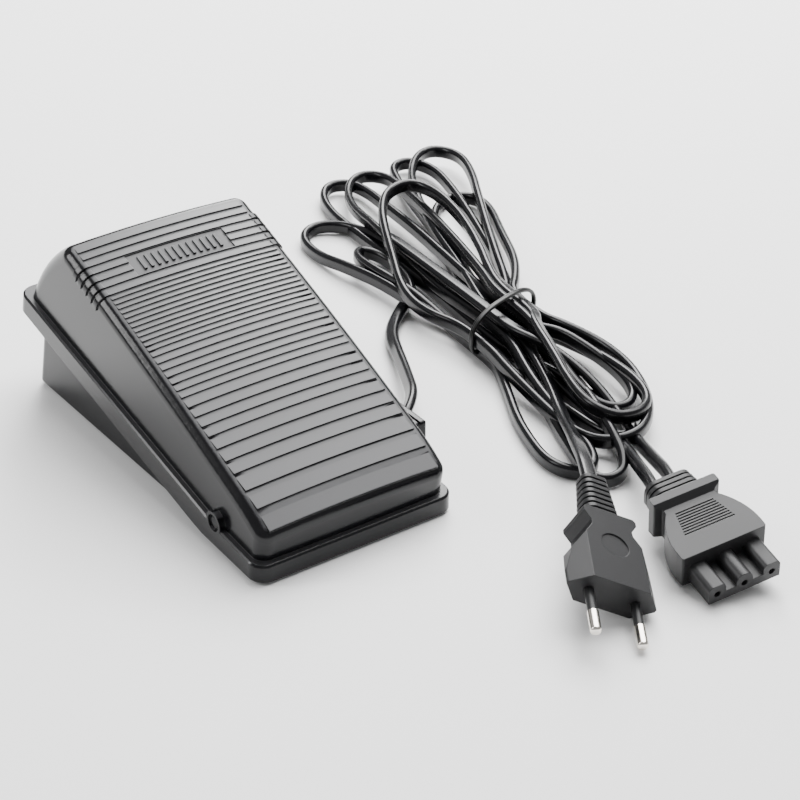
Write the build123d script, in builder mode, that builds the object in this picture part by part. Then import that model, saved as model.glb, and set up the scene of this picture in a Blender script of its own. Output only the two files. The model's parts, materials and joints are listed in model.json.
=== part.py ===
"""Electronic foot speed controller with its two flat leads, mains plug and machine connector.

Frame: origin under the middle of the pedal at floor level, +X to the user's right, +Y from the
low toe end towards the high heel end, +Z up. Millimetres.
"""

import os
from math import cos, radians, sin, tan

from build123d import *

os.makedirs("parts", exist_ok=True)

# ---------------------------------------------------------------- driving dimensions
PEDAL_WIDTH = 85.0
PEDAL_LENGTH = 175.0
FOOT_HEIGHT = 1.3                 # rubber feet below the tub floor
SHELL = 1.8                       # wall of the treadle
TUB_WALL = 2.0
HALF_WIDTH = PEDAL_WIDTH / 2
TOE = -PEDAL_LENGTH / 2
HEEL = PEDAL_LENGTH / 2

PIN_Y = TOE + 29.0                # hinge pin
PIN_Z = 12.1
PIN_R = 2.5
PIN_CLEARANCE = 0.05

PLATE_HALF = 40.0                 # treadle body, half width above the skirt
PLATE_TILT = 21.2                 # mean slope of the foot plate, degrees
PLATE_TOE = (-87.0, 18.6)         # side view point where the plate coordinates start
PLATE_END = 147.1                 # length of the plate up its slope
LIP_END = 19.0                    # where the toe lip begins to drop
CROWN_R = 476.0                   # crown of the foot plate across its width
CROWN_RISE = 1.36                 # rise of the crown at the middle over the rib ends
HALF_SWING = 6.5                  # half the sweep about the crown axis, degrees
CORNER_R = 5.2
EDGE_R = 4.4                      # rounding round the top of the treadle
SKIRT_CORNER_R = 6.0

RIB_HALF = 35.9
FIRST_RIB = 141.8                 # plate coordinate of the first rib's step
RIB_PITCHES = [3.95] * 6 + [2.5] * 12 + [3.05] + [3.5] * 6 + [4.8] * 4 + [5.95] * 3 + [8.0] * 2 + [9.0]
GRIP_FIRST = 3                    # rows that run out over the side edges
GRIP_LAST = 7
GRIP_GAP = 1.3
PANEL_HALF = 21.0                 # recessed panel in rows 4 to 6
PANEL_DEPTH = 0.35

GLAND_Y = (-52.3, -32.3)          # cord outlet block on the right side
GLAND_Z = (6.8, 17.0)
GLAND_OUT = 55.2
GLAND_MID = sum(GLAND_Y) / 2
GLAND_NECK = (8.6, 13.0)          # bottom and width of the neck through the tub wall

BOSS_R = 4.5                      # hinge bosses on the treadle
TUB_HALF = 37.8
FEET = [(-30.0, -74.0), (30.0, -74.0), (-30.0, 76.0), (30.0, 76.0)]
FOOT_STUD_R = 1.8

SPRING_X = 24.0                   # return springs under the heel end
SPRING_Y = 52.0
SPRING_SEAT = 8.0
SPRING_TOP = 56.0

POT_Y = 44.0                      # slide control and its plunger
POT_BOTTOM = 7.0
POT_TOP = 30.0
PLUNGER_R = 3.0
PLUNGER_BOTTOM = 17.0
PLUNGER_CAP = 43.5
CAM_TIP = 46.0

PANEL_BARS = [-16.5 + 3.0 * n for n in range(12)]
PANEL_BAR_WIDTH = 1.1

BOARD_X = -4.0                    # circuit board
BOARD_Y = 1.0
BOARD_Z = 12.0
BOARD_POSTS = [(-29.0, -29.0), (21.0, -29.0), (-29.0, 31.0), (21.0, 31.0)]
CHOKE_AT = (-18.0, -12.0)

LEAD_R = 2.1                      # leads drawn as round tubes of the flat cord's mean size
LEAD_Z = 12.0
CLAMP_X = 20.0
CLAMP_Z = 10.0
CLAMP_POSTS = [(CLAMP_X, GLAND_MID - 6.0), (CLAMP_X, GLAND_MID + 6.0)]
TERMINAL_X = -10.0
TERMINAL_Y = -44.5
TERMINAL_ROWS = (-48.5, -40.5)
WIRE_Z = 9.0

PEDAL_LEAD = [(54.0, -37.5, 10.0), (65.0, -30.0, 12.0), (78.0, -8.0, 9.0), (92.0, 15.0, 5.5),
              (105.0, 35.0, 3.6), (118.0, 54.0, 3.6)]
PLUG_LEAD = [(67.5, -134.7, 21.4), (76.5, -120.0, 24.5), (87.0, -103.0, 19.0),
             (97.0, -87.0, 13.0), (105.0, -73.0, 9.0)]
CONNECTOR_LEAD_A = [(99.7, -140.6, 17.5), (105.4, -131.2, 16.0), (112.4, -116.6, 11.5),
                    (119.1, -102.4, 7.5), (123.0, -93.0, 5.0)]
CONNECTOR_LEAD_B = [(92.6, -139.3, 16.4), (97.7, -130.3, 15.0), (104.8, -116.9, 11.0),
                    (111.7, -104.0, 7.5), (116.0, -95.0, 5.0)]
HANK_OUTLINE = [(108.5, 104.0), (114.0, 127.0), (130.0, 138.0), (146.0, 160.0), (166.0, 165.0),
                (190.0, 164.0), (216.0, 168.0), (224.0, 148.0), (210.0, 112.0), (188.0, 58.0),
                (162.0, 8.0), (164.0, -28.0), (155.0, -66.0), (138.0, -92.0), (114.0, -103.0),
                (98.0, -113.0), (87.0, -96.0), (90.0, -66.0), (103.0, -32.0), (109.0, -6.0),
                (106.0, 25.0), (109.0, 60.0)]
HANK_HEIGHT = 15.0
TIE_AT = (134.0, 2.0, 9.2)
TIE_ACROSS = (0.96, 0.28)
TIE_HALF = (19.0, 8.2)

PLUG_FACE = (44.1, -173.0, 11.2)  # middle of the plug face
PLUG_WIDTH_DIR = (0.808, -0.371, -0.458)
PLUG_PIN_DIR = (-0.508, -0.832, -0.221)
PLUG_HALF_THICK = 6.85
PLUG_BOOT = (33.4, 54.0)          # boot, distances behind the plug face
MAINS_PIN_X = 9.3
MAINS_PIN_R = 2.0
MAINS_SLEEVE_R = 1.75

CONNECTOR_FACE = (91.4, -176.6, 16.6)   # middle of the connector's upper front edge
CONNECTOR_WIDTH_DIR = (0.974, -0.175, 0.144)
CONNECTOR_BACK_DIR = (0.151, 0.975, 0.163)
CONNECTOR_THICK = 13.2
BARREL_LENGTH = 13.0
COLLAR = [(13.4, 24.8), (13.4, 28.8)]    # collar outline points, half width and distance back
COLLAR_RISE = 2.3
SOCKET_DEEP = 20.5                # length of each contact tube
SOCKET_LIP = 2.5                  # depth of the socket mouth in front of its contact
BARREL_PITCH = 10.9
SOCKET_R = 1.25


def save(part, label):
    """Name a finished piece and write it to its own STEP file."""
    part.label = label
    export_step(part, f"parts/{label}.step")


# ---------------------------------------------------------------- the crowned foot plate
# Plate coordinates: s runs up the slope from the toe, h stands off the plate's mean line.
UP_SLOPE = (cos(radians(PLATE_TILT)), sin(radians(PLATE_TILT)))


def to_plate(y, z):
    """Side view point to plate coordinates."""
    dy = y - PLATE_TOE[0]
    dz = z - PLATE_TOE[1]
    return (dy * UP_SLOPE[0] + dz * UP_SLOPE[1], dz * UP_SLOPE[0] - dy * UP_SLOPE[1])


def from_plate(s, h):
    """Plate coordinates to a side view point."""
    return (PLATE_TOE[0] + s * UP_SLOPE[0] - h * UP_SLOPE[1],
            PLATE_TOE[1] + s * UP_SLOPE[1] + h * UP_SLOPE[0])


def plate_height(s):
    """Height of the smooth margin surface, on the crown line."""
    bow = 5.0 - 1.3 * ((s - 85.0) / 66.0) ** 2
    lip = 2.6 * (max(0.0, LIP_END - s) / LIP_END) ** 2
    return bow - lip + CROWN_RISE


CROWN_CENTRE = from_plate(0, -CROWN_R)
CROWN_AXIS = Axis((0, *CROWN_CENTRE), (0, *UP_SLOPE))
SWING = radians(HALF_SWING)
CROWN_PLANE = Plane(
    origin=(0, *CROWN_CENTRE),
    x_dir=(0, *UP_SLOPE),
    z_dir=(cos(SWING), -UP_SLOPE[1] * sin(SWING), UP_SLOPE[0] * sin(SWING)),
)


def crowned(points, half_width):
    """Outline in plate coordinates, swept about the crown axis and cut to a width."""
    with BuildPart() as swept:
        with BuildSketch(CROWN_PLANE):
            with BuildLine():
                Polyline(*[(s, h + CROWN_R) for s, h in points], close=True)
            make_face()
        revolve(axis=CROWN_AXIS, revolution_arc=2 * HALF_SWING)
        Box(2 * half_width, 400, 400, mode=Mode.INTERSECT)
    return swept.part


def treadle_body(inset, top_edge_r):
    """Upper body of the treadle, shrunk by inset on every side and open-ended below the skirt."""
    up = CROWN_R - inset
    toe_s = 0.2 + inset
    end_s = PLATE_END - inset
    with BuildPart() as body:
        with BuildSketch(CROWN_PLANE):
            with BuildLine():
                top = ThreePointArc(
                    (LIP_END, plate_height(LIP_END) + up),
                    (85.0, plate_height(85.0) + up),
                    (end_s, plate_height(PLATE_END) + up),
                )
                lip = TangentArc(
                    [top @ 0, (toe_s, plate_height(0.2) + up)], tangent=(top % 0) * -1
                )
                heel = ThreePointArc(
                    top @ 1, (160.6 - inset, -18.0 + CROWN_R), (166.2 - inset, -47.0 + CROWN_R)
                )
                toe = Line(lip @ 1, (inset - 5.3, -30.0 + CROWN_R))
                below = Line(heel @ 1, (161.9 - inset, -58.2 + CROWN_R))
                Line(toe @ 1, below @ 1)
            make_face()
        revolve(axis=CROWN_AXIS, revolution_arc=2 * HALF_SWING)
        Box(2 * (PLATE_HALF - inset), 400, 400, mode=Mode.INTERSECT)
        walls = body.faces().filter_by(Axis.X)
        fillet([e for e in walls.edges() if is_corner(e)], CORNER_R - inset)
        if top_edge_r:
            fillet([e for e in body.edges() if is_rim(e)], top_edge_r)
    return body.part


def is_corner(edge):
    """True for the corner edges between a side wall and the toe or heel wall."""
    s, h = to_plate(edge.center().Y, edge.center().Z)
    return h < -5 and (s < 5 or s > 150)


def is_rim(edge):
    """True for the edges round the top of the treadle body."""
    middle = edge.center()
    s, h = to_plate(middle.Y, middle.Z)
    on_lip_line = abs(middle.X) < 1 and 5 < s < 145
    return h > -4 and not on_lip_line


def side_prism(points, half_width):
    """Side view outline, extruded the same distance to both sides."""
    with BuildPart() as prism:
        with BuildSketch(Plane.YZ):
            with BuildLine():
                Polyline(*points, close=True)
            make_face()
        extrude(amount=half_width, both=True)
    return prism


def upright_edges(part):
    """The four steep corner edges of a prism whose side walls face left and right."""
    return [e for e in part.edges() if abs(e.tangent_at(0.5).Z) > 0.9 and e.length > 3]


# ---------------------------------------------------------------- treadle cover
SKIRT_TOP = [(TOE, 8.0), (-58.6, 11.0), (85.4, 43.6)]
SKIRT_BOTTOM = [(HEEL, 35.7), (-43.3, 4.4), (-50.1, 3.1), (TOE, 1.4)]
SKIRT_WALL = 1.7


def rib_lines():
    """Plate coordinate of each rib's step, heel end first, with the one before the first."""
    lines = [FIRST_RIB + RIB_PITCHES[0], FIRST_RIB]
    for pitch in RIB_PITCHES:
        lines.append(lines[-1] - pitch)
    return lines


def rib_outline(first, last, depth):
    """Saw-tooth outline of ribs first to last in plate coordinates, closed below the surface."""
    lines = rib_lines()
    points = [(lines[first - 1], plate_height(lines[first - 1]) - depth)]
    for index in range(first, last + 1):
        start = lines[index - 1]
        step = lines[index]
        rise = 0.3 + 0.055 * (start - step)
        points.append((start, plate_height(start) - 0.12))
        points.append((step, plate_height(step) + rise))
    end = lines[last]
    points.append((end, plate_height(end) - depth))
    for s in (20.0, 50.0, 85.0, 115.0):
        if end + 5 < s < lines[first - 1] - 5:
            points.append((s, plate_height(s) - depth))
    return points


with BuildPart() as treadle_cover:
    skirt = side_prism(SKIRT_TOP + SKIRT_BOTTOM, HALF_WIDTH)
    with BuildPart(mode=Mode.PRIVATE) as flange:
        add(skirt)
        fillet(upright_edges(flange), SKIRT_CORNER_R)
        tops = [f for f in flange.faces() if f.normal_at().Z > 0.7]
        rims = [e for f in tops for e in f.edges() if abs(e.center().X) > 1 or e.center().Y < -80]
        chamfer([e for e in rims if e.length > 9 and abs(e.tangent_at(0.5).X) < 0.9], 0.7)
    add(flange)
    add(treadle_body(0, EDGE_R))
    below_skirt = [(HEEL + 9, SKIRT_BOTTOM[0][1] + 3.1)] + SKIRT_BOTTOM
    add(side_prism(below_skirt + [(TOE - 9, 1.4), (TOE - 9, -40.0), (HEEL + 9, -40.0)], 60),
        mode=Mode.SUBTRACT)
    with BuildPart(mode=Mode.PRIVATE) as skirt_hollow:
        inner_top = [(y + 1.7 * k, z - SKIRT_WALL) for (y, z), k in zip(SKIRT_TOP, (1, 0, -1))]
        add(side_prism(inner_top + [(HEEL - 1.9, 30.0), (HEEL - 1.9, -40.0), (TOE + 1.7, -40.0)],
                       HALF_WIDTH - SKIRT_WALL))
        fillet(upright_edges(skirt_hollow), SKIRT_CORNER_R - SKIRT_WALL)
    add(skirt_hollow, mode=Mode.SUBTRACT)
    add(treadle_body(SHELL, 0), mode=Mode.SUBTRACT)
    add(crowned(rib_outline(1, len(RIB_PITCHES) + 1, 0.9), RIB_HALF))
    with BuildPart(mode=Mode.PRIVATE) as grips:
        lines = rib_lines()
        for row in range(GRIP_FIRST, GRIP_LAST + 1):
            low = lines[row]
            high = lines[row - 1] - GRIP_GAP
            add(crowned([(low, 0.5), (high, 0.5), (high, 14.0), (low, 14.0)], PLATE_HALF + 2))
        Box(2 * RIB_HALF - 0.6, 400, 400, mode=Mode.SUBTRACT)
        add(treadle_body(-0.6, EDGE_R + 0.5), mode=Mode.INTERSECT)
        add(treadle_body(1.0, 0), mode=Mode.SUBTRACT)
    add(grips)
    # recessed name panel with plain raised bars in place of lettering
    panel_low = rib_lines()[6] + 0.4
    panel_high = rib_lines()[3] - 0.4
    floor_low = plate_height(panel_low) - PANEL_DEPTH
    floor_high = plate_height(panel_high) - PANEL_DEPTH
    panel = crowned([(panel_low, floor_low), (panel_high, floor_high),
                     (panel_high, 12.0), (panel_low, 12.0)], PANEL_HALF)
    add(panel, mode=Mode.SUBTRACT)
    bar_strip = crowned([(panel_low + 2.2, floor_low - 0.5), (panel_high - 2.2, floor_high - 0.5),
                         (panel_high - 2.2, floor_high + 0.7), (panel_low + 2.2, floor_low + 0.7)],
                        PANEL_HALF)
    with BuildPart(mode=Mode.PRIVATE) as bars:
        with Locations(*[(x, 40, 70) for x in PANEL_BARS]):
            Box(PANEL_BAR_WIDTH, 60, 60)
    add(bar_strip & bars.part)
    # hinge bosses, flush with the skirt
    with BuildSketch(Plane.YZ):
        with Locations((PIN_Y, PIN_Z)):
            Circle(BOSS_R)
    extrude(amount=HALF_WIDTH, both=True)
    with BuildSketch(Plane.YZ):
        with Locations((PIN_Y, PIN_Z)):
            Circle(BOSS_R + 2)
    extrude(amount=PLATE_HALF - SHELL, both=True, mode=Mode.SUBTRACT)
    with BuildSketch(Plane.YZ):
        with Locations((PIN_Y, PIN_Z)):
            Circle(PIN_R + PIN_CLEARANCE)
    extrude(amount=HALF_WIDTH, both=True, mode=Mode.SUBTRACT)
    for side in (-1, 1):
        with BuildSketch(Plane.YZ.offset(side * (HALF_WIDTH - 0.9))):
            with Locations((PIN_Y, PIN_Z)):
                Circle(3.3)
        extrude(amount=side * 2, mode=Mode.SUBTRACT)
    # opening for the cord outlet
    notch_y = (GLAND_Y[0] - 1.0, GLAND_Y[1] + 1.0)
    with BuildSketch(Plane.YZ.offset(36.0)):
        with Locations((sum(notch_y) / 2, 5.3)):
            RectangleRounded(notch_y[1] - notch_y[0], 30.0, 2.0)
    extrude(amount=10, mode=Mode.SUBTRACT)
    # posts under the foot plate: spring cups and the cam that presses the plunger
    plate_inside = treadle_body(1.0, 0)
    for x in (-SPRING_X, SPRING_X):
        with BuildPart(mode=Mode.PRIVATE) as cup:
            with BuildSketch(Plane.XY.offset(SPRING_TOP)):
                with Locations((x, SPRING_Y)):
                    Circle(8.6)
                    Circle(6.8, mode=Mode.SUBTRACT)
            extrude(amount=40)
            with BuildSketch(Plane.XY.offset(SPRING_TOP)):
                with Locations((x, SPRING_Y)):
                    Circle(8.6)
            extrude(amount=2)
            with BuildSketch(Plane.XY.offset(SPRING_TOP)):
                with Locations((x, SPRING_Y)):
                    Circle(4.6)
            extrude(amount=-4, taper=6)
        add(cup.part & plate_inside)
    with BuildPart(mode=Mode.PRIVATE) as cam:
        with BuildSketch(Plane.XY.offset(CAM_TIP)):
            with Locations((0, POT_Y)):
                Rectangle(3.0, 12.0)
                Rectangle(14.0, 3.0)
        extrude(amount=40)
    add(cam.part & plate_inside)
    # stiffening ribs along the underside
    with BuildPart(mode=Mode.PRIVATE) as stiffeners:
        with Locations((-14, -20, 30), (14, -20, 30)):
            Box(1.4, 70, 60)
    deep = crowned([(28.0, -2.0), (112.0, -2.0), (112.0, 5.0), (28.0, 5.0)], PLATE_HALF - 1)
    add(stiffeners.part & deep)

save(treadle_cover.part, "treadle_cover")


# ---------------------------------------------------------------- base tub
FLOOR = FOOT_HEIGHT + TUB_WALL
TUB_SIDE = [(-82.1, FOOT_HEIGHT), (-82.1, 9.0), (-66.5, 12.0), (PIN_Y - 4.2, 17.0),
            (PIN_Y + 4.2, 17.0), (PIN_Y + 8, 14.5), (76.0, 38.0), (85.7, FOOT_HEIGHT)]
TUB_INSIDE = [(-80.1, FLOOR), (-80.1, 60.0), (73.0, 60.0), (74.1, 38.0), (83.2, FLOOR)]


def floor_post(x, y, r, top, bore=0.0):
    """Round post standing on the tub floor, with an optional screw hole down its middle."""
    with BuildPart(mode=Mode.PRIVATE) as post:
        with BuildSketch(Plane.XY.offset(FLOOR - 0.5)):
            with Locations((x, y)):
                Circle(r)
        extrude(amount=top - FLOOR + 0.5)
        if bore:
            with BuildSketch(Plane.XY.offset(top)):
                with Locations((x, y)):
                    Circle(bore)
            extrude(amount=4.5 - top, mode=Mode.SUBTRACT)
    return post.part


with BuildPart() as base_tub:
    add(side_prism(TUB_SIDE, TUB_HALF))
    fillet(upright_edges(base_tub), 5.0)
    bottom = base_tub.faces().sort_by(Axis.Z)[0]
    fillet(bottom.edges(), 1.5)
    with BuildPart(mode=Mode.PRIVATE) as tub_hollow:
        add(side_prism(TUB_INSIDE, TUB_HALF - TUB_WALL))
        fillet(upright_edges(tub_hollow), 3.0)
    add(tub_hollow, mode=Mode.SUBTRACT)
    with BuildSketch(Plane.YZ):
        with Locations((PIN_Y, PIN_Z)):
            Circle(PIN_R)
    extrude(amount=TUB_HALF + 1, both=True, mode=Mode.SUBTRACT)
    # slot that holds the cord outlet
    with BuildSketch(Plane.YZ.offset(TUB_HALF - TUB_WALL - 1)):
        with Locations((sum(GLAND_Y) / 2, GLAND_NECK[0] + 15)):
            Rectangle(GLAND_NECK[1], 30)
    extrude(amount=TUB_WALL + 2, mode=Mode.SUBTRACT)
    for x, y in BOARD_POSTS:
        add(floor_post(x, y, 3.4, BOARD_Z, 1.4))
    for x in (-SPRING_X, SPRING_X):
        add(floor_post(x, SPRING_Y, 9.0, SPRING_SEAT))
        add(floor_post(x, SPRING_Y, 4.4, SPRING_SEAT + 5))
    for x, y in CLAMP_POSTS:
        add(floor_post(x, y, 2.9, CLAMP_Z, 1.4))
    with Locations((CLAMP_X, GLAND_MID, (FLOOR + LEAD_Z - LEAD_R) / 2)):
        Box(6, 6, LEAD_Z - LEAD_R - FLOOR)
    # cooling slots under the heat sink
    with BuildSketch(Plane.XY):
        with GridLocations(6.0, 0, 6, 1):
            with Locations((6.0, -6.0)):
                SlotOverall(22.0, 2.4, rotation=90)
    extrude(amount=FLOOR + 0.5, mode=Mode.SUBTRACT)
    for x, y in FEET:
        with BuildSketch(Plane.XY):
            with Locations((x, y)):
                Circle(FOOT_STUD_R)
        extrude(amount=FLOOR + 0.5, mode=Mode.SUBTRACT)

save(base_tub.part, "base_tub")

with BuildPart() as rubber_feet:
    for x, y in FEET:
        with BuildSketch(Plane.XY):
            with Locations((x, y)):
                Circle(5.0)
        extrude(amount=FOOT_HEIGHT)
        with BuildSketch(Plane.XY):
            with Locations((x, y)):
                Circle(FOOT_STUD_R)
        extrude(amount=FLOOR)
        with BuildSketch(Plane.XY.offset(FLOOR)):
            with Locations((x, y)):
                Circle(2.6)
        extrude(amount=1.4, taper=20)
save(rubber_feet.part, "rubber_feet")

with BuildPart() as hinge_pin:
    with BuildSketch(Plane.YZ):
        with Locations((PIN_Y, PIN_Z)):
            Circle(PIN_R)
    extrude(amount=HALF_WIDTH - 0.7, both=True)
    chamfer(hinge_pin.edges().filter_by(GeomType.CIRCLE), 0.4)
save(hinge_pin.part, "hinge_pin")


def coil(r, wire, bottom, top, turns):
    """Compression spring with its wire kept between two heights."""
    height = top - bottom - wire
    with BuildPart(mode=Mode.PRIVATE) as spring:
        with BuildLine():
            Helix(pitch=height / turns, height=height, radius=r)
        with BuildSketch(Plane(origin=(r, 0, 0), x_dir=(1, 0, 0), z_dir=(0, 1, 0))):
            Circle(wire / 2)
        sweep(is_frenet=True)
    return spring.part.moved(Location((0, 0, bottom + wire / 2)))


with BuildPart() as return_springs:
    for x in (-SPRING_X, SPRING_X):
        coil_part = coil(6.4, 1.4, SPRING_SEAT + 0.05, SPRING_TOP - 0.05, 9)
        add(coil_part.moved(Location((x, SPRING_Y, 0))))
save(return_springs.part, "return_springs")


# ---------------------------------------------------------------- speed control
def screw(x, y, head_z, tip_z, head_r=2.7, head_h=1.8, shank_r=1.4):
    """Pan head screw standing upright, with a cross recess."""
    with BuildPart(mode=Mode.PRIVATE) as body:
        with BuildSketch(Plane.XY.offset(tip_z)):
            with Locations((x, y)):
                Circle(shank_r)
        extrude(amount=head_z - tip_z)
        with BuildSketch(Plane.XY.offset(head_z)):
            with Locations((x, y)):
                Circle(head_r)
        extrude(amount=head_h, taper=12)
        with BuildSketch(Plane.XY.offset(head_z + head_h)):
            with Locations((x, y)):
                Rectangle(head_r * 1.1, 0.5)
                Rectangle(0.5, head_r * 1.1)
        extrude(amount=-0.9, mode=Mode.SUBTRACT)
    return body.part


def block(x, y, z, wide, deep, tall, edge=0.0):
    """Upright box on a given point of its base, with optional rounded upright edges."""
    with BuildPart(mode=Mode.PRIVATE) as body:
        with BuildSketch(Plane.XY.offset(z)):
            with Locations((x, y)):
                if edge:
                    RectangleRounded(wide, deep, edge)
                else:
                    Rectangle(wide, deep)
        extrude(amount=tall)
    return body.part


def rod(start, end, r):
    """Round rod between two points."""
    with BuildPart(mode=Mode.PRIVATE) as body:
        direction = Vector(*end) - Vector(*start)
        with BuildSketch(Plane(origin=start, z_dir=direction)):
            Circle(r)
        extrude(amount=direction.length)
    return body.part


def bent_rod(points, r, bend):
    """Round wire through a list of points with rounded corners."""
    with BuildPart(mode=Mode.PRIVATE) as body:
        with BuildLine() as path:
            FilletPolyline(*points, radius=bend)
        with BuildSketch(Plane(origin=path.line @ 0, z_dir=path.line % 0)):
            Circle(r)
        sweep()
    return body.part


with BuildPart() as slide_pot:
    add(block(0, POT_Y, POT_BOTTOM, 18, 14, POT_TOP - POT_BOTTOM, 1.0))
    with BuildSketch(Plane.XY.offset(POT_TOP)):
        with Locations((0, POT_Y)):
            Circle(PLUNGER_R + 0.35)
    extrude(amount=POT_BOTTOM + 1.4 - POT_TOP, mode=Mode.SUBTRACT)
    chamfer(slide_pot.faces().sort_by(Axis.Z)[-1].outer_wire().edges(), 0.6)
save(slide_pot.part, "slide_pot")

with BuildPart() as pot_terminals:
    for x in (-5, 0, 5):
        add(block(x, POT_Y - 8.0, POT_BOTTOM + 3, 1.6, 2.0, 0.8))
save(pot_terminals.part, "pot_terminals")

with BuildPart() as pot_bracket:
    add(block(0, POT_Y + 1.0, FLOOR, 30, 13.6, 1.5, 2.0))
    add(block(0, POT_Y + 7.75, FLOOR, 18, 1.5, 20))
    add(block(0, POT_Y, FLOOR + 1.5, 12, 8, POT_BOTTOM - FLOOR - 1.5))
    for x in (-11.8, 11.8):
        with BuildSketch(Plane.XY.offset(FLOOR)):
            with Locations((x, POT_Y + 1)):
                Circle(1.6)
        extrude(amount=2, mode=Mode.SUBTRACT)
save(pot_bracket.part, "pot_bracket")

with BuildPart() as bracket_screws:
    for x in (-11.8, 11.8):
        add(screw(x, POT_Y + 1, FLOOR + 1.5, FLOOR, shank_r=1.55, head_r=2.5))
save(bracket_screws.part, "bracket_screws")

with BuildPart() as plunger:
    with BuildSketch(Plane.XY.offset(PLUNGER_BOTTOM)):
        with Locations((0, POT_Y)):
            Circle(PLUNGER_R)
    extrude(amount=PLUNGER_CAP - PLUNGER_BOTTOM)
    with BuildSketch(Plane.XY.offset(PLUNGER_CAP)):
        with Locations((0, POT_Y)):
            Circle(6.0)
    extrude(amount=2.2)
    fillet(plunger.edges().filter_by(GeomType.CIRCLE).sort_by(Axis.Z)[-1], 1.2)
save(plunger.part, "plunger")

with BuildPart() as plunger_spring:
    add(coil(4.4, 0.7, POT_TOP + 0.05, PLUNGER_CAP - 0.05, 5).moved(Location((0, POT_Y, 0))))
save(plunger_spring.part, "plunger_spring")

BOARD_TOP = BOARD_Z + 1.6
with BuildPart() as circuit_board:
    add(block(BOARD_X, BOARD_Y, BOARD_Z, 58, 68, 1.6, 2.0))
    for x, y in BOARD_POSTS:
        with BuildSketch(Plane.XY.offset(BOARD_Z)):
            with Locations((x, y)):
                Circle(1.6)
        extrude(amount=2, mode=Mode.SUBTRACT)
save(circuit_board.part, "circuit_board")

with BuildPart() as board_screws:
    for x, y in BOARD_POSTS:
        add(screw(x, y, BOARD_TOP, 4.6))
save(board_screws.part, "board_screws")

with BuildPart() as heat_sink:
    add(block(16.0, -3.0, BOARD_TOP, 2.0, 34, 20))
    for step in range(6):
        add(block(19.5, -17.5 + step * 5.8, BOARD_TOP, 7, 1.4, 20))
save(heat_sink.part, "heat_sink")

with BuildPart() as triac:
    add(block(12.75, -3.0, BOARD_TOP + 4.0, 4.5, 10.0, 9.0))
    add(block(14.35, -3.0, BOARD_TOP + 13.0, 1.3, 10.0, 5.5))
    with BuildSketch(Plane.YZ.offset(13.0)):
        with Locations((-3.0, BOARD_TOP + 15.8)):
            Circle(1.5)
    extrude(amount=3, mode=Mode.SUBTRACT)
    for y in (-5.54, -3.0, -0.46):
        add(block(12.5, y, BOARD_TOP - 1.0, 0.6, 0.9, 5.2))
save(triac.part, "triac")

with BuildPart() as triac_screw:
    with BuildSketch(Plane.YZ.offset(13.7)):
        with Locations((-3.0, BOARD_TOP + 15.8)):
            Circle(2.4)
    extrude(amount=-1.6)
    with BuildSketch(Plane.YZ.offset(13.7)):
        with Locations((-3.0, BOARD_TOP + 15.8)):
            Circle(1.5)
    extrude(amount=3.3)
save(triac_screw.part, "triac_screw")

with BuildPart() as choke_core:
    with BuildSketch(Plane.XY.offset(BOARD_TOP + 0.9)):
        with Locations(CHOKE_AT):
            Circle(10.0)
            Circle(5.4, mode=Mode.SUBTRACT)
    extrude(amount=7.0)
    fillet(choke_core.edges(), 0.8)
save(choke_core.part, "choke_core")

with BuildPart() as choke_winding:
    with Locations(Location((*CHOKE_AT, BOARD_TOP + 4.4))):
        with PolarLocations(7.7, 16):
            Box(6.2, 1.1, 8.7)
    with BuildSketch(Plane.XY.offset(BOARD_TOP + 0.9)):
        with Locations(CHOKE_AT):
            Circle(10.0)
            Circle(5.4, mode=Mode.SUBTRACT)
    extrude(amount=7.0, mode=Mode.SUBTRACT)
save(choke_winding.part, "choke_winding")

with BuildPart() as suppressor_capacitor:
    add(block(-19.0, 8.0, BOARD_TOP, 18.0, 8.0, 13.0, 0.8))
save(suppressor_capacitor.part, "suppressor_capacitor")

with BuildPart() as timing_capacitor:
    add(block(-19.0, 21.0, BOARD_TOP, 13.0, 5.0, 9.0, 0.8))
save(timing_capacitor.part, "timing_capacitor")

with BuildPart() as electrolytic_capacitor:
    with BuildSketch(Plane.XY.offset(BOARD_TOP)):
        with Locations((-3.0, 20.0)):
            Circle(4.0)
    extrude(amount=11.0)
    fillet(electrolytic_capacitor.edges().filter_by(GeomType.CIRCLE).sort_by(Axis.Z)[-1], 0.7)
save(electrolytic_capacitor.part, "electrolytic_capacitor")


def axial(x, y, length, r):
    """Axial component lying over its two bent legs, as body and wire."""
    z = BOARD_TOP + r + 0.4
    half = length / 2 + 3.0
    with BuildPart(mode=Mode.PRIVATE) as body:
        add(rod((x - length / 2, y, z), (x + length / 2, y, z), r))
        add(bent_rod([(x - half, y, BOARD_TOP - 1.0), (x - half, y, z),
                      (x + half, y, z), (x + half, y, BOARD_TOP - 1.0)], 0.35, 0.8))
    return body.part


with BuildPart() as resistors:
    for y in (2.0, 7.0, 12.0):
        add(axial(1.5, y, 6.5, 1.3))
save(resistors.part, "resistors")

with BuildPart() as trigger_diode:
    add(axial(1.5, -4.0, 4.2, 1.0))
save(trigger_diode.part, "trigger_diode")

with BuildPart() as trimmer:
    add(block(9.5, 21.0, BOARD_TOP, 7.0, 7.0, 4.5, 0.5))
    with BuildSketch(Plane.XY.offset(BOARD_TOP + 4.5)):
        with Locations((9.5, 21.0)):
            Circle(2.6)
    extrude(amount=0.8)
    with BuildSketch(Plane.XY.offset(BOARD_TOP + 5.3)):
        with Locations((9.5, 21.0)):
            Rectangle(4.0, 0.7)
    extrude(amount=-0.6, mode=Mode.SUBTRACT)
save(trimmer.part, "trimmer")

FUSE_Z = BOARD_TOP + 3.6
with BuildPart() as fuse:
    add(rod((-8.0, -29.0, FUSE_Z), (12.0, -29.0, FUSE_Z), 2.5))
save(fuse.part, "fuse")

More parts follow.
